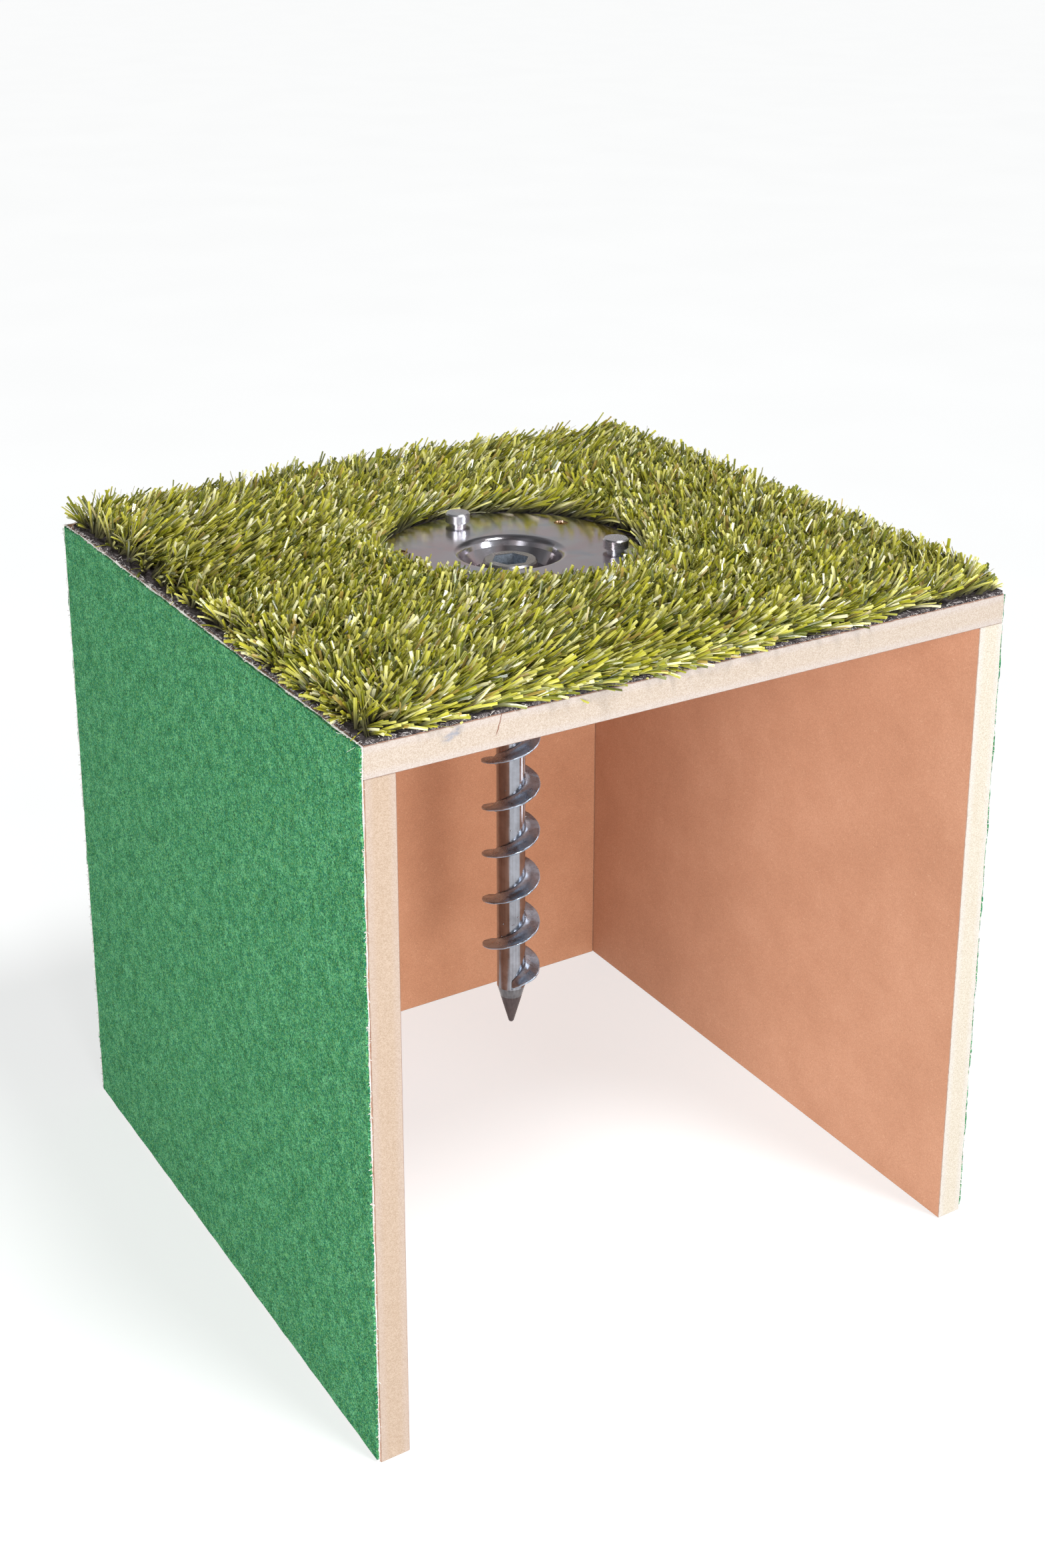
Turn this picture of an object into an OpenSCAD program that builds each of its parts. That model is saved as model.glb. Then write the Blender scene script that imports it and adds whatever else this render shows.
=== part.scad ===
// Ground screw mounting block: an open MDF box with a turf top and felt sides.
// A flange plate lies in a round cut-out of the turf, and a ground screw turns in its bore.
// Origin: the middle of the footprint, on the floor. The open side faces -Y. Millimetres.

/* [Box] */
// Width of the box over its two upright boards
box_w = 450; // [400:5:500]
// Depth of the box from the open front to the back of the felt
box_d = 450; // [400:5:500]
// Height of the box, without its turf
box_h = 450; // [400:5:600]
// Thickness of the MDF boards
board_t = 19; // [18:1:22]
// Small flat that breaks each sharp board edge
arris = 0.6; // [0.3:0.1:1.2]

/* [Coverings] */
// Thickness of the needle felt, with its latex backing
felt_t = 2; // [1.5:0.5:4]
// Gap left between the felt and the floor
felt_gap = 1.5; // [0:0.5:5]
// How far the side felt stays behind the boards' front edges
felt_setback = 1; // [0:0.5:3]
// Thickness of the turf's backing sheet
turf_backing_t = 2.5; // [2:0.5:4]
// Height of the turf's pile over its backing
pile_h = 22; // [12:1:30]
// How far the turf's backing stays inside the board's edge
turf_inset = 1; // [0.5:0.5:3]
// How far the pile stays inside its backing's edge
pile_inset = 2; // [0:0.5:6]
// How much of the turf's rear left corner is cut off
turf_corner_cut = 10; // [1:1:20]
// Radius of the round cut-out in the turf
turf_hole_r = 88.5; // [88:0.5:92]

/* [Flange plate] */
// Outer diameter of the plate
plate_d = 174; // [160:1:174]
// Thickness of the plate's steel
plate_t = 4; // [3:0.5:5]
// Diameter of the dish at the plate's surface
dish_d = 76; // [72:1:80]
// Depth of the dish's floor under the plate's surface
dish_depth = 16; // [14:1:18]
// Diameter of the bore that the ground screw passes through
bore_d = 42; // [41.5:0.5:44]

/* [Studs and plate screws] */
// Diameter of the circle that the locking studs stand on
stud_pcd = 139; // [134:1:142]
// Diameter of a stud's head
stud_head_d = 17; // [14:1:20]
// Diameter of a stud's neck
stud_neck_d = 11.6; // [10:0.2:13]
// Height of a stud over the plate
stud_h = 9; // [8.5:0.5:12]
// Diameter of the circle that the plate screws lie on
screw_pcd = 145; // [140:1:148]

/* [Ground screw] */
// Diameter of the round head
head_d = 36; // [34:1:38]
// Size of the head's hexagon socket, across its flats
hex_af = 22; // [17:1:22]
// Depth of the hexagon socket
hex_depth = 18; // [14:1:20]
// Diameter of the shaft
shaft_d = 20; // [18:1:24]
// Outer diameter of the flight
flight_d = 40.5; // [36:0.5:41]
// Rise of the flight in one turn
flight_pitch = 35; // [30:1:40]
// Height of the screw's point over the floor
tip_z = 103; // [60:1:200]
// Length of the cone
tip_len = 30; // [20:1:36]

/* [Hidden] */

// Sides of a round shape: small, middling and large
small_fn = 48;
round_fn = 96;
large_fn = 160;
arc_steps = 8;
// How far a cutting shape passes through a face
cut_through = 1;

// Colours
mdf = "#c8925f";
felt_green = "#1f7d50";
backing_grey = "#4a4546";
turf_green = "#8c9a35";
zinc = "#b9b4bb";
yellow_zinc = "#b98d4b";
bare_steel = "#8f8b8c";

// Box
panel_y0 = -box_d / 2;
panel_d = box_d - felt_t;
panel_y1 = panel_y0 + panel_d;
inner_w = box_w - 2 * board_t;
upright_h = box_h - board_t;
passage_gap = 4;
passage_d = dish_d + 2 * passage_gap;

// Wood screws, countersunk
wood_screw_len = 45;
wood_screw_d = 4;
wood_screw_head_d = 8;
wood_screw_head_h = 2.8;
head_land = 0.4;
// Length of a screw's point, in diameters
point_share = 1.5;
cross_w = 1.2;
cross_l = 4.4;
cross_depth = 1.6;
end_margin = 50;
edge_margin = board_t / 2;

// Plate
plate_z = box_h;
plate_top = plate_z + plate_t;
plate_edge_round = 0.8;
lip_r = 5;
lip_end_a = 160;
crease_gap = 0.8;
crease_drop = 6.2;
crease_r = dish_d / 2 - lip_r - crease_gap;
crease_z = plate_top - crease_drop;
dish_floor_r = 27;
dish_floor_z = plate_top - dish_depth;
// Where the dish's underside turns, in thicknesses of the plate
under_floor_out = 0.6;
under_crease_out = 1.35;
under_crease_drop = 0.45;
under_lip_out = 0.55;
plate_screw_angles = [150, 30, 270];
plate_screw_d = 5;
plate_screw_head_d = 9.8;
plate_screw_head_h = 3;
plate_screw_len = 18;
plate_screw_sink = 0.6;
pilot_gap = 0.05;

// Studs
stud_angles = [90, 210, 330];
stud_bore_d = 8;
stud_head_h = 6.4;
stud_edge_round = 0.9;
rivet_h = 2.5;
rivet_r = 6.6;
rivet_edge = 0.6;
rivet_pocket_d = 16;
rivet_pocket_h = 4;

// Ground screw
head_edge = 1.2;
foot_edge = 0.5;
head_sink = 5;
head_top = plate_top - head_sink;
head_bottom = 425;
collar_gap = 0.3;
collar_flange_t = 3;
collar_flange_r = 25;
spigot_below = 2;
spigot_clearance = 0.06;
spigot_bottom = dish_floor_z - plate_t - spigot_below;
shaft_bottom = tip_z + tip_len;
shaft_r = shaft_d / 2;
point_r = 2;
point_start_a = -80;
hex_turn = -10;
flight_turn = -31.4;
flight_ref_z = 147;
flight_start_a = -120;
flight_turns = 7.14;
flight_steps = 48;
flight_root_w = 3.2;
flight_edge_w = 1.8;
flight_root_r = shaft_r - 0.4;
flight_tail_r = shaft_r + 1;
flight_taper_a = 60;

// A board with its size, every edge broken by the arris
module board(size) {
    intersection() {
        linear_extrude(size.z) broken_rect(size.x, size.y);
        translate([0, size.y, 0]) rotate([90, 0, 0]) linear_extrude(size.y) broken_rect(size.x, size.z);
        rotate([90, 0, 90]) linear_extrude(size.x) broken_rect(size.y, size.z);
    }
}

module broken_rect(w, h) {
    polygon([[arris, 0], [w - arris, 0], [w, arris], [w, h - arris],
             [w - arris, h], [arris, h], [0, h - arris], [0, arris]]);
}

// Places the children once for each angle on a circle
module on_circle(pcd, angles) {
    for (a = angles)
        translate([pcd / 2 * cos(a), pcd / 2 * sin(a), 0]) rotate([0, 0, a]) children();
}

// A countersunk screw with its head's face at z = 0 and its point at z = -len
module countersunk_screw(d, head_d, head_h, len) {
    difference() {
        rotate_extrude($fn = small_fn)
            polygon([[0, 0], [head_d / 2, 0], [head_d / 2, -head_land], [d / 2, -head_h],
                     [d / 2, -len + point_share * d], [0, -len]]);
        for (turn = [0, 90])
            rotate([0, 0, turn]) translate([-cross_l / 2, -cross_w / 2, -cross_depth])
                cube([cross_l, cross_w, cross_depth + cut_through]);
    }
}

// The hole that such a screw fills
module countersunk_hole(d, head_d, head_h, len, gap = 0) {
    rotate_extrude($fn = small_fn)
        polygon([[0, cut_through], [head_d / 2 + gap, cut_through], [head_d / 2 + gap, -head_land],
                 [d / 2 + gap, -head_h], [d / 2 + gap, -len + point_share * d], [0, -len]]);
}

// Where the wood screws of the top board stand: over both uprights and over the back board
module at_top_screws() {
    for (x = [-1, 1], t = [0, 0.5, 1])
        translate([x * (box_w / 2 - edge_margin), panel_y0 + end_margin + t * (panel_d - 2 * end_margin),
                   box_h]) children();
    for (x = [-1, 1])
        translate([x * inner_w / 4, panel_y1 - edge_margin, box_h]) children();
}

// Where the wood screws through the uprights stand: in the back board's two ends
module at_side_screws() {
    for (side = [-1, 1], t = [0, 0.5, 1])
        translate([side * box_w / 2, panel_y1 - edge_margin, end_margin + t * (upright_h - 2 * end_margin)])
            rotate([0, side * 90, 0]) children();
}

module wood_screw() {
    countersunk_screw(wood_screw_d, wood_screw_head_d, wood_screw_head_h, wood_screw_len);
}

module wood_screw_hole() {
    countersunk_hole(wood_screw_d, wood_screw_head_d, wood_screw_head_h, wood_screw_len);
}

module at_plate_screw(a) {
    on_circle(screw_pcd, [a]) translate([0, 0, plate_top - plate_screw_sink]) children();
}

module plate_screw_hole(gap) {
    countersunk_hole(plate_screw_d, plate_screw_head_d, plate_screw_head_h, plate_screw_len, gap);
}

module top_panel() {
    color(mdf) difference() {
        translate([-box_w / 2, panel_y0, upright_h]) board([box_w, panel_d, board_t]);
        translate([0, 0, upright_h - cut_through])
            cylinder(d = passage_d, h = board_t + 2 * cut_through, $fn = large_fn);
        at_top_screws() wood_screw_hole();
        for (a = plate_screw_angles) at_plate_screw(a) plate_screw_hole(0);
        // Pockets for the studs' riveted ends
        on_circle(stud_pcd, stud_angles) translate([0, 0, box_h - rivet_pocket_h])
            cylinder(d = rivet_pocket_d, h = rivet_pocket_h + cut_through, $fn = small_fn);
    }
}

module upright(side) {
    color(mdf) difference() {
        translate([side > 0 ? box_w / 2 - board_t : -box_w / 2, panel_y0, 0])
            board([board_t, panel_d, upright_h]);
        at_top_screws() wood_screw_hole();
        at_side_screws() wood_screw_hole();
    }
}

module left_panel() { upright(-1); }
module right_panel() { upright(1); }

module back_panel() {
    color(mdf) difference() {
        translate([-inner_w / 2, panel_y1 - board_t, 0]) board([inner_w, board_t, upright_h]);
        at_top_screws() wood_screw_hole();
        at_side_screws() wood_screw_hole();
    }
}

module top_wood_screws() {
    color(yellow_zinc) at_top_screws() wood_screw();
}

module side_wood_screws() {
    color(yellow_zinc) at_side_screws() wood_screw();
}

module side_felt(side) {
    color(felt_green)
        translate([side > 0 ? box_w / 2 : -box_w / 2 - felt_t, panel_y0 + felt_setback, felt_gap])
            cube([felt_t, panel_d - felt_setback, box_h - felt_gap]);
}

module left_felt() { side_felt(-1); }
module right_felt() { side_felt(1); }

module back_felt() {
    color(felt_green)
        translate([-box_w / 2 - felt_t, panel_y1, felt_gap])
            cube([box_w + 2 * felt_t, felt_t, box_h - felt_gap]);
}

// A square of turf with the round cut-out, drawn in by some distance
module turf_square(inset) {
    difference() {
        translate([-box_w / 2 + inset, panel_y0 + inset])
            square([box_w - 2 * inset, panel_d - 2 * inset]);
        translate([-box_w / 2 + inset, panel_y1 - inset])
            rotate([0, 0, 45]) square(turf_corner_cut * sqrt(2), center = true);
        circle(r = turf_hole_r, $fn = large_fn);
    }
}

module turf_backing() {
    color(backing_grey)
        translate([0, 0, box_h]) linear_extrude(turf_backing_t) turf_square(turf_inset);
}

module turf_pile() {
    color(turf_green)
        translate([0, 0, box_h + turf_backing_t]) linear_extrude(pile_h) turf_square(turf_inset + pile_inset);
}

// The plate's half section: a flat ring, a rounded lip, a conical wall and the dish's floor
function arc(c, r, a0, a1, n) =
    [for (i = [0:n]) [c.x + r * cos(a0 + (a1 - a0) * i / n), c.y + r * sin(a0 + (a1 - a0) * i / n)]];

module plate_section() {
    rim_r = plate_d / 2;
    under_z = dish_floor_z - plate_t;
    under_floor_r = dish_floor_r + plate_t * under_floor_out;
    under_crease = [crease_r + plate_t * under_crease_out, crease_z - plate_t * under_crease_drop];
    under_lip_r = dish_d / 2 + plate_t * under_lip_out;
    polygon(concat(
        [[bore_d / 2, under_z], [under_floor_r, under_z], under_crease, [under_lip_r, plate_z],
         [rim_r - plate_edge_round, plate_z], [rim_r, plate_z + plate_edge_round],
         [rim_r, plate_top - plate_edge_round], [rim_r - plate_edge_round, plate_top]],
        arc([dish_d / 2, plate_top - lip_r], lip_r, 90, lip_end_a, arc_steps),
        [[crease_r, crease_z], [dish_floor_r, dish_floor_z], [bore_d / 2, dish_floor_z]]
    ));
}

module flange_plate() {
    color(zinc) difference() {
        rotate_extrude($fn = large_fn) plate_section();
        on_circle(stud_pcd, stud_angles)
            translate([0, 0, plate_z - cut_through])
                cylinder(d = stud_bore_d, h = plate_t + 2 * cut_through, $fn = small_fn);
        for (a = plate_screw_angles) at_plate_screw(a) plate_screw_hole(pilot_gap);
    }
}

// A locking stud: a mushroom head on a neck, with a riveted end under the plate
module stud(a) {
    neck_r = stud_neck_d / 2;
    head_r = stud_head_d / 2;
    head_z = stud_h - stud_head_h;
    rivet_z = -plate_t - rivet_h;
    color(zinc) on_circle(stud_pcd, [a]) translate([0, 0, plate_top])
        rotate_extrude($fn = round_fn)
            polygon([[0, rivet_z], [rivet_r - rivet_edge, rivet_z], [rivet_r, rivet_z + rivet_edge],
                     [rivet_r, -plate_t], [stud_bore_d / 2, -plate_t], [stud_bore_d / 2, 0], [neck_r, 0],
                     [neck_r, head_z], [head_r, head_z], [head_r, stud_h - stud_edge_round],
                     [head_r - stud_edge_round, stud_h], [0, stud_h]]);
}

module rear_stud() { stud(stud_angles[0]); }
module front_left_stud() { stud(stud_angles[1]); }
module front_right_stud() { stud(stud_angles[2]); }

module plate_screw(a) {
    color(yellow_zinc) at_plate_screw(a)
        countersunk_screw(plate_screw_d, plate_screw_head_d, plate_screw_head_h, plate_screw_len);
}

module left_plate_screw() { plate_screw(plate_screw_angles[0]); }
module right_plate_screw() { plate_screw(plate_screw_angles[1]); }
module front_plate_screw() { plate_screw(plate_screw_angles[2]); }

// The head: a turned cylinder with chamfers and a hexagon socket
module socket_head() {
    r = head_d / 2;
    color(zinc) difference() {
        rotate_extrude($fn = round_fn)
            polygon([[0, head_bottom], [r - foot_edge, head_bottom], [r, head_bottom + foot_edge],
                     [r, head_top - head_edge], [r - head_edge, head_top], [0, head_top]]);
        translate([0, 0, head_top - hex_depth]) rotate([0, 0, hex_turn])
            cylinder(d = hex_af / cos(30), h = hex_depth + cut_through, $fn = 6);
    }
}

// The collar's flange hangs on the dish's floor, and its spigot turns in the plate's bore
module bearing_collar() {
    flange_z = dish_floor_z + collar_gap;
    flange_top = flange_z + collar_flange_t;
    spigot_r = bore_d / 2 - spigot_clearance;
    color(zinc) rotate_extrude($fn = round_fn)
        polygon([[head_d / 2, spigot_bottom], [spigot_r - foot_edge, spigot_bottom],
                 [spigot_r, spigot_bottom + foot_edge], [spigot_r, flange_z], [collar_flange_r, flange_z],
                 [collar_flange_r, flange_top - head_edge], [collar_flange_r - head_edge, flange_top],
                 [head_d / 2, flange_top]]);
}

module screw_shaft() {
    color(bare_steel) translate([0, 0, shaft_bottom])
        cylinder(d = shaft_d, h = head_bottom - shaft_bottom, $fn = round_fn);
}

// The flight: a ribbon wound round the shaft, thick at its weld and thin at its edge
module screw_flight() {
    n = round(flight_turns * flight_steps);
    step_a = 360 / flight_steps;
    function angle(i) = flight_start_a + i * step_a;
    function height(i) = flight_ref_z + flight_pitch * (angle(i) - flight_turn) / 360;
    function grow(i) = min(1, min(i, n - i) * step_a / flight_taper_a);
    function radius(i) = flight_tail_r + (flight_d / 2 - flight_tail_r) * sqrt(grow(i));
    function ring(i) = let(a = angle(i), z = height(i), r = radius(i))
        [for (p = [[flight_root_r, -flight_root_w / 2], [r, -flight_edge_w / 2],
                   [r, flight_edge_w / 2], [flight_root_r, flight_root_w / 2]])
            [p.x * cos(a), p.x * sin(a), z + p.y]];
    points = [for (i = [0:n]) each ring(i)];
    sides = [for (i = [0:n - 1], k = [0:3])
        each [[4 * i + k, 4 * i + (k + 1) % 4, 4 * i + 4 + (k + 1) % 4],
              [4 * i + k, 4 * i + 4 + (k + 1) % 4, 4 * i + 4 + k]]];
    ends = [[0, 3, 2, 1], [4 * n, 4 * n + 1, 4 * n + 2, 4 * n + 3]];
    color(bare_steel) polyhedron(points, concat(sides, ends), convexity = 20);
}

// The point: a cone with a ball end
module screw_point() {
    cone_a = atan2(shaft_r - point_r, tip_len - point_r);
    color(bare_steel) translate([0, 0, tip_z]) rotate_extrude($fn = round_fn)
        polygon(concat([[0, tip_len], [0, 0]],
                       arc([0, point_r], point_r, point_start_a, -cone_a, arc_steps), [[shaft_r, tip_len]]));
}

top_panel();
left_panel();
right_panel();
back_panel();
top_wood_screws();
side_wood_screws();
left_felt();
right_felt();
back_felt();
turf_backing();
turf_pile();
flange_plate();
rear_stud();
front_left_stud();
front_right_stud();
left_plate_screw();
right_plate_screw();
front_plate_screw();
socket_head();
bearing_collar();
screw_shaft();
screw_flight();
screw_point();
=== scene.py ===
import math

import bpy
import numpy as np
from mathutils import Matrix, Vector


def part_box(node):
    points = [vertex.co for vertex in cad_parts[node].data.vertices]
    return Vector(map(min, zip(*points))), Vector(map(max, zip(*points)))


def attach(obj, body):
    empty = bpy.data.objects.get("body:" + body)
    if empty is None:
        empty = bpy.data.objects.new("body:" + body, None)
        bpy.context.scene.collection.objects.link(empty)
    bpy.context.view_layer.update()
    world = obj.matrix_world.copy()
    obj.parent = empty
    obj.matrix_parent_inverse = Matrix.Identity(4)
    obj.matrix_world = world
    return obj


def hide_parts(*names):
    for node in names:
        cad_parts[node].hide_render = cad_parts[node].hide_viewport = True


MM = 0.001
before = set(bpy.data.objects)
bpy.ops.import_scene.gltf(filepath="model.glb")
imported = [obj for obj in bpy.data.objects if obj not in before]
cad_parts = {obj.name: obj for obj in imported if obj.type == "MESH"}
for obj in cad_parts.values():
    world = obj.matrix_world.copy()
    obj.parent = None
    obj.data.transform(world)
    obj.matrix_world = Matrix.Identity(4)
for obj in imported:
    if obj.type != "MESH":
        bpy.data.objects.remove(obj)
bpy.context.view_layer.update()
scene = bpy.context.scene


# ---- measures from the frame

board_low, board_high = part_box("top_panel")
BOARD_T = board_high.z - board_low.z
TOP_Z = board_high.z
plate_low, plate_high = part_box("flange_plate")
PLATE_R = (plate_high.x - plate_low.x) / 2
HOLE_R = PLATE_R + 1.5 * MM
PILE_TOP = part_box("turf_pile")[1].z
backing_low, backing_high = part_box("turf_backing")
flight_low, flight_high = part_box("screw_flight")
FLIGHT_R = (flight_high.x - flight_low.x) / 2
shaft_low, shaft_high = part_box("screw_shaft")
SHAFT_R = (shaft_high.x - shaft_low.x) / 2
HEAD_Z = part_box("socket_head")[1].z
FELT_FACE_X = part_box("left_felt")[0].x


# ---- camera, floor and light

CAMERA_AT = (-0.655, -1.08, 0.8685)
CAMERA_YAW = 31.6
CAMERA_PITCH = 17.2
CAMERA_LENS = 46.3
CAMERA_SHIFT = -0.17

FLOOR_HALF = 60

# the room's grey by height: 0 on the horizon and below it, 1 straight overhead
ROOM_GREYS = ((0.0, 0.56), (0.1, 0.45), (0.3, 0.33), (0.5, 0.2), (1.0, 0.18))
# its soft patches: noise from the first value to the second gives a strength from the third to the fourth
ROOM_PATCHES = (0.38, 0.62, 0.45, 1.45)

STRIP_SIZE = (0.05, 0.24)


def fill_ramp(ramp, stops):
    """Sets a colour ramp's stops, each a position and a colour."""
    while len(ramp.elements) < len(stops):
        ramp.elements.new(0.5)
    for element, (position, colour) in zip(ramp.elements, stops):
        element.position = position
        element.color = (*colour, 1)


def make_camera():
    data = bpy.data.cameras.new("camera")
    data.sensor_width = 36
    data.lens = CAMERA_LENS
    data.shift_y = CAMERA_SHIFT
    camera = bpy.data.objects.new("camera", data)
    camera.location = CAMERA_AT
    camera.rotation_euler = (math.radians(90 - CAMERA_PITCH), 0, math.radians(-CAMERA_YAW))
    scene.collection.objects.link(camera)
    scene.camera = camera


def add_light(name, kind, place, rotation, power, colour=(1, 1, 1)):
    data = bpy.data.lights.new(name, kind)
    data.energy = power
    data.color = colour
    light = bpy.data.objects.new(name, data)
    light.location = place
    light.rotation_euler = rotation
    scene.collection.objects.link(light)
    return light


def make_light(name, place, target, size, power, colour=(1, 1, 1)):
    """A round lamp aimed at a place."""
    aim = (Vector(target) - Vector(place)).to_track_quat("-Z", "Y").to_euler()
    light = add_light(name, "AREA", place, aim, power, colour)
    light.data.shape = "DISK"
    light.data.size = size


def make_strip(name, place, turn, power, colour):
    """A narrow upright lamp that only shows in polished metal."""
    light = add_light(name, "AREA", place, (math.radians(90), 0, math.radians(turn)), power, colour)
    light.data.shape = "RECTANGLE"
    light.data.size, light.data.size_y = STRIP_SIZE
    light.visible_camera = False
    light.visible_diffuse = False


def make_sun(tilt, turn, strength, width):
    """A lamp far overhead, tilted towards the open side."""
    light = add_light("top", "SUN", (0, 0, 0), (math.radians(tilt), 0, math.radians(turn)), strength)
    light.data.angle = math.radians(width)


def make_world():
    """A dim studio room with soft patches, and a white backdrop that only the camera sees."""
    world = bpy.data.worlds.new("studio")
    world.use_nodes = True
    nodes, links = world.node_tree.nodes, world.node_tree.links
    place = nodes.new("ShaderNodeTexCoord")
    split = nodes.new("ShaderNodeSeparateXYZ")
    links.new(place.outputs["Generated"], split.inputs[0])
    room = nodes.new("ShaderNodeTexNoise")
    room.inputs["Scale"].default_value = 1.3
    room.inputs["Detail"].default_value = 1
    links.new(place.outputs["Generated"], room.inputs["Vector"])
    fade = nodes.new("ShaderNodeValToRGB")
    fill_ramp(fade.color_ramp, [(position, (grey, grey, grey)) for position, grey in ROOM_GREYS])
    links.new(split.outputs["Z"], fade.inputs[0])
    links.new(fade.outputs[0], nodes["Background"].inputs["Color"])
    strength = nodes.new("ShaderNodeMapRange")
    for socket, value in zip(strength.inputs[1:], ROOM_PATCHES):
        socket.default_value = value
    links.new(room.outputs["Fac"], strength.inputs[0])
    links.new(strength.outputs[0], nodes["Background"].inputs["Strength"])
    backdrop = nodes.new("ShaderNodeBackground")
    backdrop.inputs["Color"].default_value = (1, 1, 1, 1)
    seen = nodes.new("ShaderNodeMixShader")
    links.new(nodes.new("ShaderNodeLightPath").outputs["Is Camera Ray"], seen.inputs[0])
    links.new(nodes["Background"].outputs[0], seen.inputs[1])
    links.new(backdrop.outputs[0], seen.inputs[2])
    links.new(seen.outputs[0], nodes["World Output"].inputs["Surface"])
    scene.world = world


def make_lights():
    middle = (0, 0, 0.25)
    make_sun(tilt=30, turn=25, strength=2.2, width=14)
    make_light("key", (-0.6, -2.4, 0.75), middle, size=0.5, power=22)
    make_light("right", (1.15, -2.1, 1.15), middle, size=0.7, power=22, colour=(0.86, 0.93, 1))
    make_strip("front_glint", (0.17, -0.07, 0.3), turn=68, power=0.14, colour=(0.84, 0.92, 1))
    make_strip("rear_glint", (0.17, 0.05, 0.3), turn=106, power=0.025, colour=(1, 1, 1))
    make_light("left", (-2.1, -1.5, 0.8), (0, 0, 0.3), size=1.0, power=46)


def make_floor():
    half = FLOOR_HALF
    points = [(-half, -half, 0), (half, -half, 0), (half, half, 0), (-half, half, 0)]
    make_piece("floor", points, [(0, 1, 2, 3)], floor_look(), None)


# ---- material tools

class Look:
    """A material being made: its Principled shader and the nodes that feed it."""

    def __init__(self, name, **values):
        self.material = bpy.data.materials.new(name)
        self.material.use_nodes = True
        self.nodes = self.material.node_tree.nodes
        self.links = self.material.node_tree.links
        self.shader = self.nodes["Principled BSDF"]
        self.place = self.nodes.new("ShaderNodeTexCoord").outputs["Object"]
        for key, value in values.items():
            self.shader.inputs[key.replace("_", " ")].default_value = value

    def feed(self, socket, value):
        """Links a node's result to the socket, or sets the socket to a constant."""
        if isinstance(value, bpy.types.NodeSocket):
            self.links.new(value, socket)
        elif isinstance(value, tuple) and socket.type == "RGBA":
            socket.default_value = (*value, 1)
        else:
            socket.default_value = value

    def to(self, name, value):
        self.feed(self.shader.inputs[name], value)

    def calc(self, operation, a, b=0.0, c=0.0):
        n = self.nodes.new("ShaderNodeMath")
        n.operation = operation
        for socket, value in zip(n.inputs, (a, b, c)):
            self.feed(socket, value)
        return n.outputs[0]

    def times(self, a, b):
        return self.calc("MULTIPLY", a, b)

    def stretched(self, scale):
        """The place on the object, scaled: a scale below 1 stretches a pattern along that axis."""
        if scale == (1, 1, 1):
            return self.place
        n = self.nodes.new("ShaderNodeMapping")
        n.inputs["Scale"].default_value = scale
        self.links.new(self.place, n.inputs["Vector"])
        return n.outputs[0]

    def noise(self, scale, detail=2.0, stretch=(1, 1, 1), rough=0.5, warp=0.0):
        n = self.nodes.new("ShaderNodeTexNoise")
        n.inputs["Scale"].default_value = scale
        n.inputs["Detail"].default_value = detail
        n.inputs["Roughness"].default_value = rough
        n.inputs["Distortion"].default_value = warp
        self.links.new(self.stretched(stretch), n.inputs["Vector"])
        return n.outputs["Fac"]

    def cells(self, scale, stretch=(1, 1, 1)):
        n = self.nodes.new("ShaderNodeTexVoronoi")
        n.inputs["Scale"].default_value = scale
        self.links.new(self.stretched(stretch), n.inputs["Vector"])
        return n.outputs["Distance"]

    def part(self, axis):
        n = self.nodes.new("ShaderNodeSeparateXYZ")
        self.links.new(self.place, n.inputs[0])
        return n.outputs["XYZ".index(axis)]

    def facing(self, axis):
        """How far the surface faces along an axis of the object, from 0 to 1."""
        coordinates = self.nodes.new("ShaderNodeTexCoord")
        n = self.nodes.new("ShaderNodeSeparateXYZ")
        self.links.new(coordinates.outputs["Normal"], n.inputs[0])
        return self.calc("ABSOLUTE", n.outputs["XYZ".index(axis)])

    def attribute(self, name):
        n = self.nodes.new("ShaderNodeAttribute")
        n.attribute_name = name
        return n.outputs["Fac"]

    def smooth(self, value, low, high, out_low=0.0, out_high=1.0):
        n = self.nodes.new("ShaderNodeMapRange")
        n.interpolation_type = "SMOOTHSTEP"
        for socket, v in zip(n.inputs, (value, low, high, out_low, out_high)):
            self.feed(socket, v)
        return n.outputs[0]

    def ramp(self, value, *stops):
        n = self.nodes.new("ShaderNodeValToRGB")
        fill_ramp(n.color_ramp, stops)
        self.feed(n.inputs[0], value)
        return n.outputs[0]

    def mix(self, factor, a, b, mode="MIX"):
        """Mixes two colours. The Mix node's colours are its inputs 6 and 7 and its output 2."""
        n = self.nodes.new("ShaderNodeMix")
        n.data_type = "RGBA"
        n.blend_type = mode
        self.feed(n.inputs[0], factor)
        self.feed(n.inputs[6], a)
        self.feed(n.inputs[7], b)
        return n.outputs[2]

    def bump(self, height, distance, strength=1.0):
        n = self.nodes.new("ShaderNodeBump")
        n.inputs["Strength"].default_value = strength
        n.inputs["Distance"].default_value = distance
        self.feed(n.inputs["Height"], height)
        self.to("Normal", n.outputs[0])


# ---- materials

SPLIT_X = -142 * MM
SPLIT_DEPTH = 13 * MM
RUB_X = -172 * MM
RUB_DEPTH = 5 * MM
SOCKET_R = 12.9 * MM
BRIGHT_CONE = 7.5 * MM
SHAFT_TONES = ((0.22, 0.22, 0.24), (0.36, 0.37, 0.41))
POLISHED_TONES = ((0.11, 0.105, 0.11), (0.2, 0.2, 0.21))
POLISHED_ROUGH = 0.14

# each mottle's noise scale and warp, the noise's range, the shares at its ends, and the colour
FELT_MOTTLES = (
    (700, 0.6, 0.52, 0.62, 0.0, 0.85, (0.002, 0.17, 0.115)),
    (900, 0.6, 0.56, 0.66, 0.0, 0.85, (0.19, 0.46, 0.13)),
    (800, 0.6, 0.34, 0.44, 0.85, 0.0, (0.003, 0.06, 0.02)),
    (2100, 2.0, 0.6, 0.7, 0.0, 0.55, (0.3, 0.64, 0.4)),
)


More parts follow.
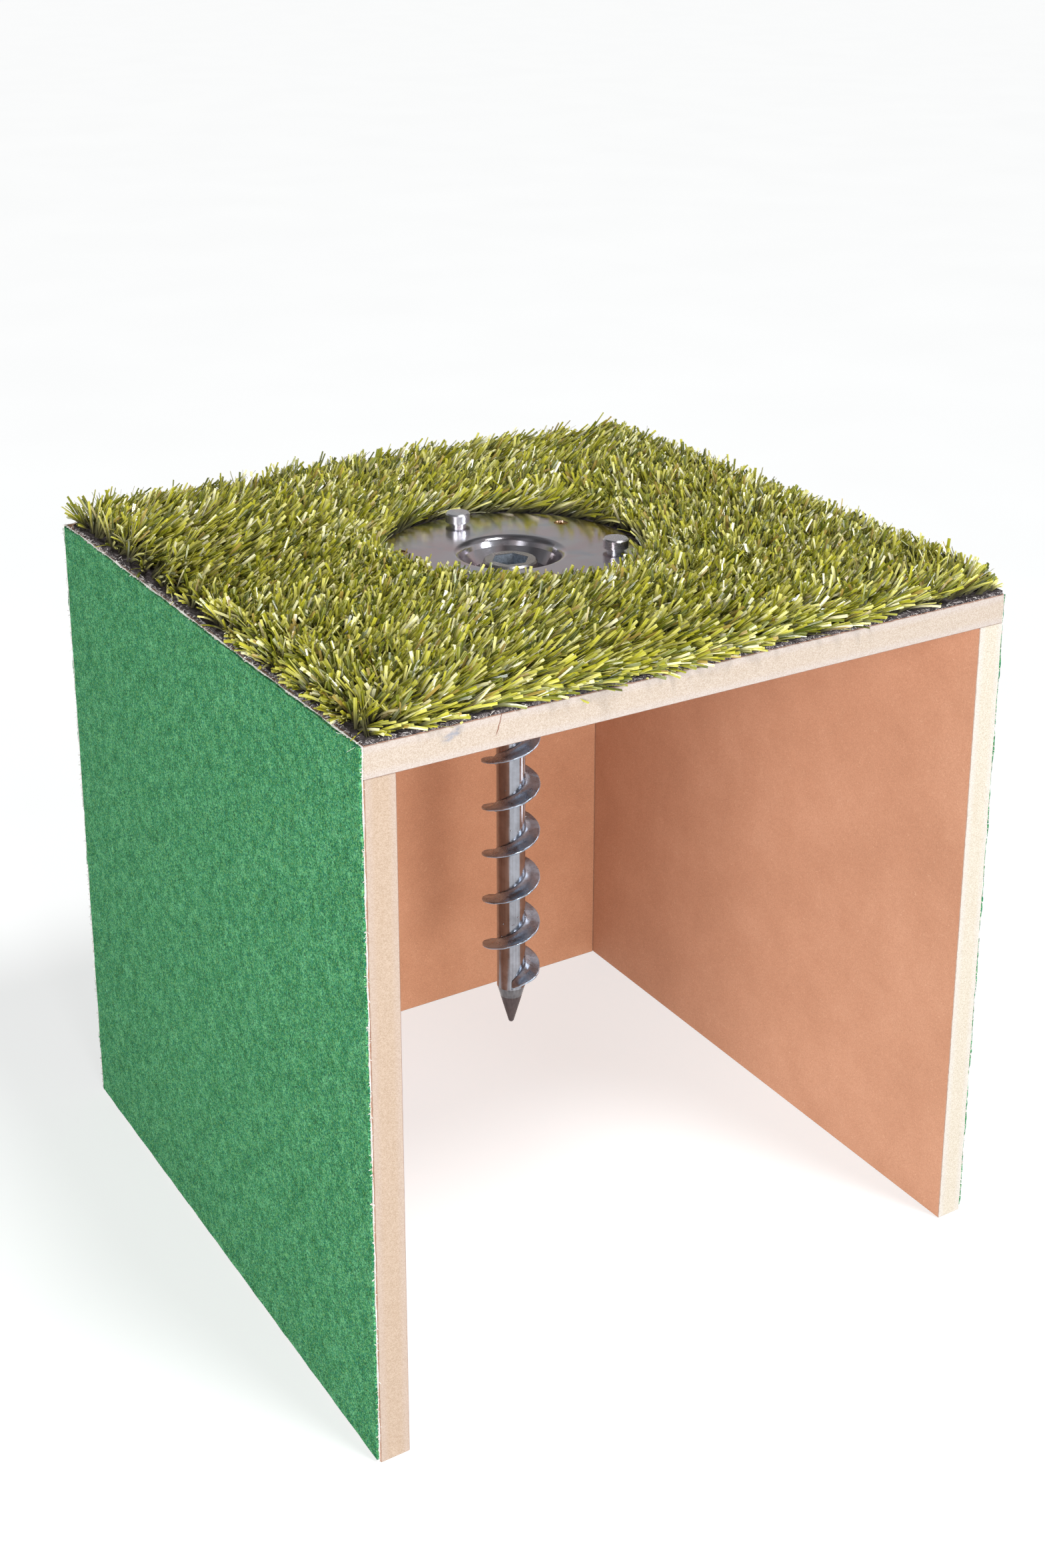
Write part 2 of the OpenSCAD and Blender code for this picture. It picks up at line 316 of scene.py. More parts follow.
def board_look(name, axis, centre, face_painted_light=(1, 1, 1), edge_painted_light=(1, 1, 1), marks=False):
    """Fibreboard: brown pressed faces across the given axis, and pale sawn edges all round."""
    look = Look(name, Roughness=0.8)
    look.to("Specular IOR Level", 0.25)
    cloud = look.noise(14, 4, rough=0.7)
    fibre = look.noise(1050, 4, rough=0.75)
    curl = look.noise(500, 3, rough=0.6, warp=3.0)
    fleck = look.cells(900, (1, 1, 0.5))
    tone = look.calc("MULTIPLY_ADD", fibre, 0.5,
                     look.calc("MULTIPLY_ADD", curl, 0.2, look.times(cloud, 0.3)))
    face = look.ramp(tone, (0.32, (0.41, 0.2, 0.118)), (0.5, (0.53, 0.277, 0.17)),
                     (0.68, (0.65, 0.37, 0.245)))
    face = look.mix(look.smooth(fleck, 0.06, 0.18, 0.5, 0.0), face, (0.22, 0.09, 0.045))
    pale = look.smooth(look.noise(420, 2, warp=3.0), 0.62, 0.72, 0.0, 0.4)
    face = look.mix(pale, face, (0.74, 0.5, 0.35))
    # painted light and shade: the face tint scales this board's face colour to stand in for the light that
    # falls on this board
    face = look.mix(1.0, face, face_painted_light, "MULTIPLY")

    across = look.calc("SUBTRACT", look.part(axis), centre)
    depth = look.calc("DIVIDE", look.calc("ABSOLUTE", across), BOARD_T / 2)
    core = look.smooth(depth, 0.35, 0.85, 1.0, 0.0)
    grain = look.noise(1900, 3, rough=0.7)
    skin = look.ramp(grain, (0.36, (0.44, 0.345, 0.28)), (0.6, (0.56, 0.465, 0.4)))
    heart = look.ramp(grain, (0.36, (0.405, 0.305, 0.22)), (0.6, (0.57, 0.46, 0.37)))
    saw = look.noise(200, 2, (1, 1, 0.12) if axis != "Z" else (0.12, 1, 1))
    edge = look.mix(core, skin, heart)
    edge = look.mix(look.smooth(saw, 0.55, 0.75, 0.0, 0.16), edge, (0.42, 0.3, 0.2))
    arris = look.smooth(look.calc("MULTIPLY_ADD", look.noise(260, 2), 0.06, depth), 0.98, 1.01, 0.0, 0.75)
    edge = look.mix(arris, edge, (0.24, 0.1, 0.06))
    # painted light and shade: the edge tint scales this board's edge colour to stand in for the light that
    # falls on this board
    edge = look.mix(1.0, edge, edge_painted_light, "MULTIPLY")
    if marks:
        edge = add_edge_marks(look, edge)
    colour = look.mix(look.smooth(look.facing(axis), 0.8, 0.95), edge, face)
    look.to("Base Color", colour)
    look.bump(look.calc("ADD", grain, look.times(saw, 0.4)), 0.0003, 0.3)
    return look.material


def add_edge_marks(look, edge):
    """The small split and the faint blue rub on the top board's front edge."""
    x, z, y = look.part("X"), look.part("Z"), look.part("Y")
    front = look.calc("LESS_THAN", y, board_low.y + 2 * MM)
    slant = look.calc("MULTIPLY_ADD", look.calc("SUBTRACT", z, TOP_Z), -0.3, x)
    wander = look.times(look.calc("SUBTRACT", look.noise(300, 1), 0.5), 1.2 * MM)
    off = look.calc("ABSOLUTE", look.calc("ADD", look.calc("SUBTRACT", slant, SPLIT_X), wander))
    split = look.smooth(off, 0.15 * MM, 0.45 * MM, 1.0, 0.0)
    split = look.times(split, look.smooth(z, TOP_Z - SPLIT_DEPTH, TOP_Z - SPLIT_DEPTH + 4 * MM))
    edge = look.mix(look.times(split, front), edge, (0.16, 0.06, 0.035))
    right, up = look.calc("SUBTRACT", x, RUB_X), look.calc("SUBTRACT", z, TOP_Z - RUB_DEPTH)
    along = look.calc("MULTIPLY_ADD", up, 0.42, look.times(right, 0.9))
    over = look.calc("MULTIPLY_ADD", right, -0.42, look.times(up, 0.9))
    rub = look.smooth(look.calc("ABSOLUTE", along), 3 * MM, 9 * MM, 1.0, 0.0)
    rub = look.times(rub, look.smooth(look.calc("ABSOLUTE", over), 0.8 * MM, 3.2 * MM, 1.0, 0.0))
    rub = look.times(rub, look.smooth(look.noise(500, 2, (0.6, 1, 1.4)), 0.35, 0.6, 0.3, 1.0))
    rub = look.times(rub, front)
    return look.mix(look.times(rub, 0.8), edge, (0.22, 0.23, 0.27))


def felt_look():
    """Needled green fibres in several tones."""
    look = Look("needle_felt", Roughness=0.95)
    look.to("Specular IOR Level", 0.1)
    look.to("Sheen Weight", 0.03)
    look.to("Sheen Roughness", 0.6)
    nap = look.noise(1500, 3, rough=0.75)
    curl = look.noise(620, 3, rough=0.7, warp=1.2)
    cloud = look.noise(120, 3, rough=0.6)
    tone = look.calc("MULTIPLY_ADD", curl, 0.45,
                     look.calc("MULTIPLY_ADD", cloud, 0.2, look.times(nap, 0.35)))
    green = look.ramp(tone, (0.42, (0.002, 0.095, 0.014)), (0.5, (0.028, 0.26, 0.08)),
                      (0.57, (0.2, 0.6, 0.29)))
    for scale, warp, low, high, share_low, share_high, colour in FELT_MOTTLES:
        share = look.smooth(look.noise(scale, 2, warp=warp), low, high, share_low, share_high)
        green = look.mix(share, green, colour)
    look.to("Base Color", green)
    look.bump(look.calc("ADD", nap, curl), 0.0012, 0.9)
    return look.material


def latex_look():
    """The felt's crumbly off-white backing."""
    look = Look("latex_backing", Roughness=0.85)
    crumb = look.noise(600, 3)
    look.to("Base Color", look.ramp(crumb, (0.35, (0.55, 0.52, 0.49)), (0.62, (0.86, 0.84, 0.8))))
    look.bump(crumb, 0.0008, 0.6)
    return look.material


def fleece_look():
    """Dark needled fleece, with pale fluff where it is cut."""
    look = Look("turf_backing_fleece", Roughness=0.95)
    look.to("Specular IOR Level", 0.15)
    wool = look.noise(600, 4, rough=0.75, warp=1.0)
    lump = look.noise(150, 3, warp=1.0)
    tone = look.calc("MULTIPLY_ADD", wool, 0.6, look.times(lump, 0.4))
    grey = look.ramp(tone, (0.38, (0.02, 0.016, 0.017)), (0.52, (0.07, 0.058, 0.06)),
                     (0.66, (0.24, 0.21, 0.215)))
    fray = look.smooth(look.calc("MULTIPLY_ADD", wool, 1.6, look.attribute("rim")), 1.8, 2.1, 0.0, 0.6)
    look.to("Base Color", look.mix(fray, grey, (0.62, 0.56, 0.54)))
    look.bump(look.calc("ADD", wool, lump), 0.0016, 0.9)
    return look.material


def fluff_look():
    """Torn pale fibres and crumbs at the cut edges."""
    look = Look("pale_fluff", Roughness=0.8)
    wool = look.noise(200, 2)
    look.to("Base Color", look.ramp(wool, (0.35, (0.5, 0.45, 0.43)), (0.65, (0.86, 0.83, 0.8))))
    return look.material


def blade_look():
    """Plastic tape in several greens, ribbed along its length and half glossy, with painted shade darkening
    it towards the root.
    """
    look = Look("turf_blades", Roughness=0.22)
    tint, up = look.attribute("tint"), look.attribute("up")
    look.to("Specular IOR Level", 0.75)
    colour = look.ramp(
        tint,
        (0.0, (0.04, 0.06, 0.001)), (0.2, (0.13, 0.15, 0.001)), (0.4, (0.29, 0.285, 0.005)),
        (0.6, (0.48, 0.45, 0.025)), (0.8, (0.67, 0.63, 0.2)), (0.93, (0.84, 0.81, 0.55)),
        (1.0, (0.34, 0.23, 0.04)),
    )
    on_blade = (look.times(look.attribute("across"), 2.2),
                look.times(up, 0.5),
                look.times(tint, 90))
    join = look.nodes.new("ShaderNodeCombineXYZ")
    for socket, value in zip(join.inputs, on_blade):
        look.feed(socket, value)
    rib = look.nodes.new("ShaderNodeTexNoise")
    rib.inputs["Scale"].default_value = 1.6
    rib.inputs["Detail"].default_value = 2
    look.links.new(join.outputs[0], rib.inputs["Vector"])
    rib = rib.outputs["Fac"]
    colour = look.mix(look.smooth(rib, 0.48, 0.7, 0.0, 0.5), colour, (0.7, 0.67, 0.26))
    colour = look.mix(look.smooth(rib, 0.3, 0.45, 0.5, 0.0), colour, (0.13, 0.13, 0.004))
    # painted shade: the colour falls to near black towards the root, standing in for the shade down in the
    # pile
    colour = look.mix(look.smooth(up, 0.15, 0.95, 0.96, 0.0), colour, (0.025, 0.021, 0.001))
    look.to("Base Color", colour)
    gloss = look.smooth(rib, 0.3, 0.7, 0.12, 0.24)
    look.to("Roughness", look.calc("MAXIMUM", gloss, look.smooth(up, 0.25, 0.8, 0.9, 0.0)))
    look.bump(rib, 0.0002, 0.35)
    return look.material


def zinc_look(name, dark, light, tint, rough, brushed=(1, 1, 1), socket=False):
    """Bright zinc plating: a near mirror, faintly clouded and scratched, with a dull crust in a socket."""
    look = Look(name, Metallic=1.0)
    cloud = look.noise(17, 2, warp=1.5)
    patch = look.noise(34, 3, warp=1.0)
    grain = look.noise(1500, 2, brushed)
    colour = look.ramp(cloud, (0.35, dark), (0.62, light))
    colour = look.mix(look.smooth(patch, 0.48, 0.66, 0.0, 0.6), colour, tint)
    roughness = look.smooth(look.calc("MULTIPLY_ADD", grain, 0.5, look.times(patch, 0.5)),
                            0.3, 0.7, rough * 0.7, rough * 1.4)
    if socket:
        x, y, z = look.part("X"), look.part("Y"), look.part("Z")
        out = look.calc("SQRT", look.calc("ADD", look.times(x, x), look.times(y, y)))
        below = look.calc("LESS_THAN", z, HEAD_Z - 0.3 * MM)
        inside = look.times(look.calc("LESS_THAN", out, SOCKET_R), below)
        crust = look.noise(700, 4, rough=0.7)
        crust = look.ramp(crust, (0.3, (0.26, 0.29, 0.33)), (0.7, (0.6, 0.65, 0.72)))
        colour = look.mix(inside, colour, crust)
        roughness = look.calc("MAXIMUM", roughness, look.times(inside, 0.55))
    look.to("Base Color", colour)
    look.to("Roughness", roughness)
    look.bump(look.calc("ADD", grain, look.times(patch, 1.5)), 0.00006, 0.5)
    return look.material


def steel_look(name, dark, light, rough, rings=0.0, bright_above=None, metal=1.0):
    """Drawn steel, streaked and grimy, with turning marks or a polished upper part where asked."""
    look = Look(name, Metallic=metal)
    streak = look.noise(700, 2, (1, 1, 0.02))
    stain = look.noise(70, 4, rough=0.65)
    pit = look.cells(900)
    tone = look.calc("MULTIPLY_ADD", streak, 0.35, look.times(stain, 0.65))
    colour = look.ramp(tone, (0.36, dark), (0.6, light))
    roughness = look.smooth(stain, 0.3, 0.7, rough * 0.7, rough * 1.5)
    if bright_above:
        bright = look.calc("GREATER_THAN", look.part("Z"), bright_above)
        polished = look.ramp(tone, (0.36, POLISHED_TONES[0]), (0.6, POLISHED_TONES[1]))
        colour = look.mix(bright, colour, polished)
        roughness = look.calc("MULTIPLY_ADD", bright, POLISHED_ROUGH - rough, roughness)
    colour = look.mix(look.smooth(pit, 0.06, 0.16, 0.5, 0.0), colour, (0.16, 0.13, 0.12))
    look.to("Base Color", colour)
    look.to("Roughness", roughness)
    height = look.calc("ADD", streak, look.times(stain, 0.6))
    if rings:
        turned = look.noise(900, 1, (0.02, 0.02, 1))
        height = look.calc("ADD", height, look.times(turned, rings))
    look.bump(height, 0.0001, 0.5)
    return look.material


def yellow_zinc_look():
    look = Look("yellow_zinc", Metallic=1.0)
    cloud = look.noise(300, 2)
    look.to("Base Color", look.ramp(cloud, (0.35, (0.42, 0.2, 0.07)), (0.6, (0.72, 0.46, 0.2))))
    look.to("Roughness", look.smooth(cloud, 0.3, 0.7, 0.22, 0.4))
    look.bump(cloud, 0.0001, 0.4)
    return look.material


def floor_look():
    """White paper, lit from below as well, so that it stays white into the distance."""
    look = Look("floor", Roughness=0.9)
    cloud = look.noise(3, 2)
    look.to("Base Color", look.ramp(cloud, (0.3, (0.36, 0.37, 0.37)), (0.7, (0.38, 0.39, 0.39))))
    look.to("Emission Color", (1, 1, 1))
    look.to("Emission Strength", 0.65)
    return look.material


# ---- mesh tools

def make_piece(name, points, faces, material, body, smooth=False, attributes=None):
    """A mesh object that rides on a body, with its values for each point as mesh attributes."""
    mesh = bpy.data.meshes.new(name)
    mesh.from_pydata(np.asarray(points, float).tolist(), [], faces)
    for key, values in (attributes or {}).items():
        data = mesh.attributes.new(key, "FLOAT", "POINT")
        data.data.foreach_set("value", np.asarray(values, np.float32))
    mesh.polygons.foreach_set("use_smooth", [smooth] * len(mesh.polygons))
    mesh.materials.append(material)
    mesh.update()
    piece = bpy.data.objects.new(name, mesh)
    scene.collection.objects.link(piece)
    if body:
        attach(piece, body)
    return piece


def unit(rows):
    """Each row scaled to length 1."""
    return rows / np.linalg.norm(rows, axis=1)[:, None]


def wave(t, seed, size):
    """A smooth wander of t with no repeat in sight, up to about size either way."""
    r = np.random.default_rng(seed)
    total = np.zeros_like(t)
    for k in range(1, 7):
        total += np.sin(t * r.uniform(0.7, 1.3) * 2.2 ** k + r.uniform(0, 6.3)) / k
    return total * size / 2.2


def felt_slab(name, corner, u_dir, v_dir, out_dir, size, thick, cells, fray, swell, seed, material):
    """A closed flat sheet standing on a plane, with a wandering outline and a slightly uneven face.

    fray is how far its edges wander, two along v and then two along u, and swell how far its face does."""
    nu, nv = cells
    u, v = np.meshgrid(np.linspace(0, 1, nu + 1), np.linspace(0, 1, nv + 1), indexing="ij")
    length_u, length_v = size
    pu, pv = u * length_u, v * length_v
    near_u0, near_u1 = np.clip(1 - u * nu / 2, 0, 1), np.clip(1 - (1 - u) * nu / 2, 0, 1)
    near_v0, near_v1 = np.clip(1 - v * nv / 2, 0, 1), np.clip(1 - (1 - v) * nv / 2, 0, 1)
    pu = pu + near_u0 * wave(pv * 60, seed, fray[0]) + near_u1 * wave(pv * 60, seed + 1, fray[1])
    pv = pv + near_v0 * wave(pu * 60, seed + 2, fray[2]) + near_v1 * wave(pu * 60, seed + 3, fray[3])
    lift = thick + wave(pu * 40 + 3 * pv, seed + 4, swell) * np.sin(np.pi * u) * np.sin(np.pi * v)
    at = np.array(corner)[None, None, :]
    flat = at + pu[..., None] * np.array(u_dir) + pv[..., None] * np.array(v_dir)
    raised = flat + lift[..., None] * np.array(out_dir)
    points = np.concatenate([flat.reshape(-1, 3), raised.reshape(-1, 3)])
    row, top = nv + 1, (nu + 1) * (nv + 1)

    faces = []
    for i in range(nu):
        for j in range(nv):
            a, b, c, d = i * row + j, (i + 1) * row + j, (i + 1) * row + j + 1, i * row + j + 1
            faces += [(d, c, b, a), (a + top, b + top, c + top, d + top)]
    for i in range(nu):
        for j in (0, nv):
            a, b = i * row + j, (i + 1) * row + j
            faces.append((a, b, b + top, a + top) if j == 0 else (b, a, a + top, b + top))
    for j in range(nv):
        for i in (0, nu):
            a, b = i * row + j, i * row + j + 1
            faces.append((b, a, a + top, b + top) if i == 0 else (a, b, b + top, a + top))
    if np.dot(np.cross(u_dir, v_dir), out_dir) < 0:
        faces = [f[::-1] for f in faces]
    return make_piece(name, points, faces, material, "block")


def strands(roots, ways, lengths, widths, droops, steps, ridge, rng, curl=0.18):
    """Tapes or fibres with a three-cornered section, ridge high.

    ways are unit directions at the root, and droops turn each strand towards its own lean as it rises.
    Returns points, faces, each point's share along and side across its strand, and a strand's points."""
    n = len(roots)
    side = unit(np.cross(ways, rng.normal(size=(n, 3))))
    leans = np.column_stack([ways[:, :2], np.zeros(n)])
    leans /= np.maximum(np.linalg.norm(leans, axis=1), 1e-6)[:, None]
    place, way = roots.copy(), ways.copy()
    curls = rng.normal(size=(n, 1)) * curl
    rings, ups = [], []
    for k in range(steps + 1):
        normal = unit(np.cross(side, way))
        half = side * (widths / 2)[:, None]
        rings.append(np.stack([place - half, place + half, place + normal * ridge], axis=1))
        ups.append(np.full((n, 3), k / steps))
        way = unit(way + ((leans - np.array([0, 0, 0.5])) * droops[:, None] + side * curls) / steps)
        side = unit(side - way * (side * way).sum(axis=1)[:, None])
        place = place + way * (lengths / steps)[:, None]
    points = np.stack(rings, axis=1).reshape(-1, 3)
    each = 3 * (steps + 1)
    base = (np.arange(n) * each)[:, None]
    faces = []
    for k in range(steps):
        for a, b in ((0, 1), (1, 2), (2, 0)):
            quad = base + np.array([3 * k + a, 3 * k + b, 3 * k + 3 + b, 3 * k + 3 + a])
            faces += quad.tolist()
    faces += (base + np.array([2, 1, 0])).tolist()
    faces += (base + 3 * steps + np.array([0, 1, 2])).tolist()
    across = np.tile([-1.0, 1.0, 0.0], n * (steps + 1))
    return points, faces, np.stack(ups, axis=1).reshape(-1), across, each


# ---- felt

FELT_LATEX = 0.45 * MM
FELT_INSET = 0.7 * MM
FELT_CELLS = (100, 300)
LATEX_FRAY = (0.6 * MM, 0.6 * MM, 0.4 * MM, 0.5 * MM)
CLOTH_FRAY = (0.9 * MM, 0.7 * MM, 0.5 * MM, 0.8 * MM)
CLOTH_SWELL = 0.22 * MM
FELT_CRUMBS = 1100


def felt_fluff(name, corner, across, outward, size, material, rng):
    """Torn crumbs of latex and short fibres along a felt's two upright edges and its top edge."""
    n = FELT_CRUMBS
    side, share = rng.integers(0, 3, n), rng.random(n)
    u = np.where(side == 2, share, side) * size[0]
    v = np.where(side == 2, 1, share) * size[1]
    across, outward, up = (np.array(way, float) for way in (across, outward, (0, 0, 1)))
    roots = np.array(corner) + u[:, None] * across + v[:, None] * up
    roots = roots + outward * rng.uniform(0.1, 1.0, (n, 1)) * MM
    ways = np.where(side == 0, -1, np.where(side == 1, 1, 0))[:, None] * across + (side == 2)[:, None] * up
    ways = unit(ways * rng.uniform(0, 0.6, (n, 1)) + rng.normal(size=(n, 3)) * 0.7)
    lengths, widths = rng.uniform(0.5, 1.9, n) * MM, rng.uniform(0.2, 0.6, n) * MM
    points, faces, *_ = strands(roots, ways, lengths, widths, rng.uniform(0, 1, n), 3, 0.2 * MM, rng, 1.2)
    return make_piece(name, points, faces, material, "block")


def make_felts(felt, latex, fluff):
    """Each felt as two slabs on its board: the latex backing, and over it the cloth, set in a little."""
    rng = np.random.default_rng(31)
    for node, outward in (("left_felt", (-1, 0, 0)), ("right_felt", (1, 0, 0)), ("back_felt", (0, 1, 0))):
        low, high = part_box(node)
        across = (0, 1, 0) if outward[0] else (1, 0, 0)
        corner = Vector((high.x if outward[0] < 0 else low.x, low.y, low.z))
        thick, width, height = high.x - low.x, high.y - low.y, high.z - low.z
        if not outward[0]:
            thick, width = width, thick
        seed = len(node)
        backing = felt_slab(node + "_latex", corner, across, (0, 0, 1), outward, (width, height),
                            FELT_LATEX, FELT_CELLS, LATEX_FRAY, 0, seed, latex)
        start = corner + Vector(outward) * FELT_LATEX
        start += Vector(across) * FELT_INSET + Vector((0, 0, FELT_INSET))
        cloth_size = (width - 2 * FELT_INSET, height - 2 * FELT_INSET)
        cloth = felt_slab(node + "_cloth", start, across, (0, 0, 1), outward, cloth_size,
                          thick - FELT_LATEX, FELT_CELLS, CLOTH_FRAY, CLOTH_SWELL, seed + 10, felt)
        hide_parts(node)
        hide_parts(node)
        crumbs = felt_fluff(node + "_fluff", corner, across, outward, (width, height), fluff, rng)


# ---- turf

CORNER_CUT = 10 * MM
OUTLINE_STEP = 3 * MM
RIM_WIDTH = 4 * MM
ROW_GAP = 6.6 * MM
STITCH_GAP = 4.7 * MM
EDGE_STRIP = 6 * MM
BLADES_IN_TUFT = 8
BLADE_STEPS = 4
BLADE_LENGTHS_MM = (24, 33)
BLADE_WIDTHS_MM = (1.1, 2.1)
BLADE_RIDGE = 0.22 * MM
LEAN_LIMIT = 2.4
OVERHANG = 1.5 * MM
TURF_PARTS = 3
CORNER_THREADS = 9


def turf_outline(spacing):
    """The turf's cut square with its missing rear left corner, as points about spacing apart."""
    x0, y0, x1, y1 = backing_low.x, backing_low.y, backing_high.x, backing_high.y
    corners = [(x0, y0), (x1, y0), (x1, y1), (x0 + CORNER_CUT, y1), (x0, y1 - CORNER_CUT)]
    points = []
    for a, b in zip(corners, corners[1:] + corners[:1]):
        a, b = np.array(a), np.array(b)
        count = max(2, int(np.linalg.norm(b - a) / spacing))
        points += [a + (b - a) * k / count for k in range(count)]
    return np.array(points)


def make_turf_backing(material):
    """The backing as a closed solid with a round hole. rim is 1 at its cut edges and 0 further in."""
    outer = turf_outline(OUTLINE_STEP)
    centre = (outer.max(0) + outer.min(0)) / 2
    outward = unit(outer - centre)
    along = np.arange(len(outer)) * OUTLINE_STEP
    outer = outer + outward * wave(along * 220, 5, 0.6 * MM)[:, None]
    turn = np.linspace(0, 2 * np.pi, 181)[:-1]
    inner = np.column_stack([np.cos(turn), np.sin(turn)]) * (HOLE_R + wave(turn * 14, 6, 0.4 * MM))[:, None]
    n, m = len(outer), len(inner)
    rings = []
    for z, inset in ((backing_low.z, 0), (backing_low.z + 0.4 * MM, 0.1 * MM), (backing_high.z, 0)):
        shrunk = outer - outward * inset
        rings.append(np.column_stack([shrunk, np.full(n, z)]))
    inset_ring = np.column_stack([outer - outward * RIM_WIDTH, np.full(n, backing_high.z)])
    wide = np.column_stack([inner * (HOLE_R + RIM_WIDTH) / HOLE_R, np.full(m, backing_high.z)])
    hole = [np.column_stack([inner, np.full(m, z)]) for z in (backing_low.z, backing_high.z)]
    points = np.concatenate([*rings, inset_ring, *hole, wide])
    rim = np.concatenate([np.ones(2 * n), np.full(n, 0.9), np.zeros(n), np.full(2 * m, 0.6), np.zeros(m)])
    faces = []
    for k in range(3):
        for i in range(n):
            j = (i + 1) % n
            faces.append((k * n + i, k * n + j, (k + 1) * n + j, (k + 1) * n + i))
    h0, h1, h2 = 4 * n, 4 * n + m, 4 * n + 2 * m
    for i in range(m):
        j = (i + 1) % m
        faces.append((h0 + j, h0 + i, h1 + i, h1 + j))
        faces.append((h1 + j, h1 + i, h2 + i, h2 + j))
    top = fill_between([3 * n + i for i in range(n)], [h2 + i for i in range(m)], points)
    bottom = fill_between(list(range(n)), [h0 + i for i in range(m)], points)
    faces += top + [f[::-1] for f in bottom]
    piece = make_piece("turf_backing_sheet", points, faces, material, "block",
                       attributes={"rim": rim})
    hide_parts("turf_backing")
    return piece


def fill_between(outer, inner, points):
    """Triangles of the flat ring between two loops, both anticlockwise about the middle."""
    def angles(loop):
        return np.unwrap(np.arctan2(points[loop, 1], points[loop, 0]))

    a, b = angles(outer), angles(inner)
    shift = int(np.argmin(np.abs(np.angle(np.exp(1j * (b - a[0]))))))
    inner = inner[shift:] + inner[:shift]
    b = angles(inner)
    b += 2 * np.pi * round((a[0] - b[0]) / (2 * np.pi))
    faces, i, j = [], 0, 0
    n, m = len(outer), len(inner)
    while i < n or j < m:
        next_a = a[i + 1] if i + 1 < n else a[0] + 2 * np.pi
        next_b = b[j + 1] if j + 1 < m else b[0] + 2 * np.pi
        if j >= m or (i < n and next_a <= next_b):
            faces.append((outer[i % n], outer[(i + 1) % n], inner[j % m]))
            i += 1
        else:
            faces.append((outer[i % n], inner[(j + 1) % m], inner[j % m]))
            j += 1
    return faces


def tuft_places(rng):
    """Where the tufts stand: rows of stitches, kept clear of the cut edges and of the plate."""
    x = np.arange(backing_low.x + EDGE_STRIP, backing_high.x - EDGE_STRIP * 0.6, ROW_GAP)
    y = np.arange(backing_low.y + EDGE_STRIP * 0.8, backing_high.y - EDGE_STRIP * 0.6, STITCH_GAP)
    grid = np.stack(np.meshgrid(x, y, indexing="ij"), axis=-1).reshape(-1, 2)
    grid = grid + rng.uniform(-1.8, 1.8, grid.shape) * MM
    away = np.linalg.norm(grid, axis=1)
    corner = (grid[:, 0] - backing_low.x) + (backing_high.y - grid[:, 1])
    return grid[(away > HOLE_R + 0.8 * MM) & (corner > CORNER_CUT + 7 * MM)]


def lean_field(at):
    """The nap's slow wander over the turf, as a lean in x and y."""
    x, y = at[:, 0] / 0.1, at[:, 1] / 0.1
    turn = 0.4 + 0.45 * np.sin(1.3 * x + 0.7 * y + 0.4) + 0.4 * np.sin(-0.9 * x + 1.9 * y + 2.0)
    push = 1.15 + 0.12 * y + 0.35 * np.sin(2.1 * x - 1.2 * y + 1.1)
    return np.column_stack([np.cos(turn), np.sin(turn)]) * push[:, None]


def near_plate(at):
    """How near each place is to the plate's cut-out, and how far it lies behind it, both from 0 to 1."""
    away = np.linalg.norm(at, axis=1)
    near = np.clip(1 - (away - HOLE_R) / (30 * MM), 0, 1)
    behind = np.clip(at[:, 1] / away * 1.6 + 0.35, 0, 1)
    return near, behind


def blade_leans(at, rng, loose):
    """How each tuft leans: with the nap, and combed along the cut edges and past the plate."""
    n = len(at)
    lean = rng.normal(size=(n, 2)) * loose + lean_field(at)
    middle = np.array([0, (backing_high.y + backing_low.y) / 2])
    half = np.array([backing_high.x, (backing_high.y - backing_low.y) / 2])
    share = (at - middle) / half
    # tufts at the front and left edges lean outwards
    edge = np.clip((np.abs(share) - 0.84) / 0.14, 0, 1)
    front = edge[:, 1] * (share[:, 1] < 0)
    lean[:, 0] += front * rng.uniform(0.5, 1.6, n)
    lean[:, 1] -= front * rng.uniform(0.3, 1.0, n)
    left = edge[:, 0] * (share[:, 0] < 0)
    lean[:, 0] -= left * rng.uniform(0.6, 1.6, n)
    lean[:, 1] += left * rng.uniform(-1.2, 0.4, n)
    # tufts behind the plate are combed along its rim, and none leans over it
    near, behind = near_plate(at)
    radial = unit(at)
    round_rim = np.column_stack([radial[:, 1], -radial[:, 0]])
    combed = round_rim * rng.uniform(1.2, 2.0, (n, 1)) + radial * rng.uniform(-0.1, 0.35, (n, 1))
    back, fore = (near * behind)[:, None], (near * (1 - behind))[:, None]
    lean = lean * (1 - 0.85 * back) * (1 - 0.7 * fore) + combed * 0.9 * back
    inward = np.minimum((lean * radial).sum(axis=1), 0)[:, None] * radial
    close = np.clip(near * 1.8 - 0.4, 0, 1)[:, None]
    return lean - inward * close * 0.85


# each stray's root x and y in mm, its first direction as x, y and z, its length in mm, and its bend
STRAY_BLADES = (
    (-112, -214, 1.0, -0.5, 0.45, 29, 4.2),
    (-170, -214, 0.3, -1.0, 0.5, 12, 3.6),
    (-206, -206, -1.0, -0.5, 0.5, 24, 1.6),
    (-60, -214, 1.0, -0.5, 0.4, 22, 1.8),
    (-150, -215, 1.0, -0.35, 0.3, 24, 1.3),
    (30, -214, 1.0, -0.5, 0.4, 20, 2.2),
    (120, -215, 1.0, -0.6, 0.4, 18, 2.6),
    (-214, -90, -0.8, -0.6, 0.5, 16, 2.0),
    (-214, 40, -0.8, -0.6, 0.4, 17, 2.2),
    (-214, 150, -0.8, 0.6, 0.5, 16, 1.8),
)


def stray_blades(rng):
    """Longer blades that hang over the front and left edges."""
    rows = np.array(STRAY_BLADES, float)
    roots = np.column_stack([rows[:, :2] * MM, np.full(len(rows), backing_high.z)])
    ways = unit(rows[:, 2:5])
    widths = rng.uniform(1.8, 2.4, len(rows)) * MM
    return strands(roots, ways, rows[:, 5] * MM, widths, rows[:, 6], 7, 0.3 * MM, rng)


